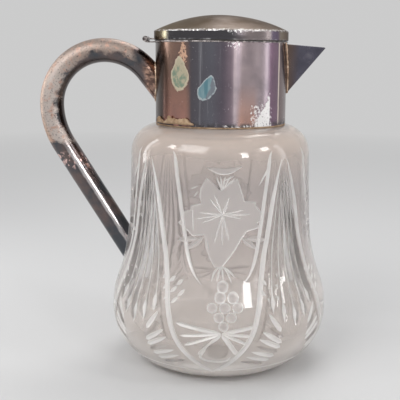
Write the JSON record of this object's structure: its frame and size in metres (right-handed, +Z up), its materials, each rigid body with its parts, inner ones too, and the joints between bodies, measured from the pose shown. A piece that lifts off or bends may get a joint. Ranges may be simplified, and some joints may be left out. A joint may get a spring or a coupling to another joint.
{
  "type": "claret jug",
  "caption": "Cut-glass serving jug with a silver-plated collar, beak spout, tube handle and hinged domed lid.",
  "frame": {"origin": "centre of the flat base, on the axis of the glass", "axes": "+Z up along the axis of the jug, +X towards the spout, -X towards the handle and hinge, +Y across"},
  "size_m": [0.1971, 0.149, 0.2353],
  "materials": {
    "cut_glass": "polished",
    "plaster": "matte",
    "tarnished_plate": "satin",
    "worn_plate": "satin",
    "inner_plate": "satin",
    "handle_plate": "satin",
    "lid_plate": "satin"
  },
  "bodies": {
    "jug": {"glass_body": "cut_glass", "neck_cement": "plaster", "collar": "tarnished_plate", "collar_rim": "worn_plate", "neck_ledge": "inner_plate", "spout": "tarnished_plate", "handle_tube": "handle_plate", "handle_foot": "handle_plate", "collar_hinge_leaf": "tarnished_plate", "hinge_pin": "worn_plate"},
    "lid": {"lid_shell": "lid_plate", "lid_flange": "inner_plate", "lid_hinge_leaf": "tarnished_plate"}
  },
  "joints": [
    {"name": "lid_hinge", "type": "hinge", "parent": "jug", "child": "lid", "pos_m": [-0.0502, 0, 0.2191], "axis": [0, -1, 0], "range_deg": [0, 145]}
  ]
}
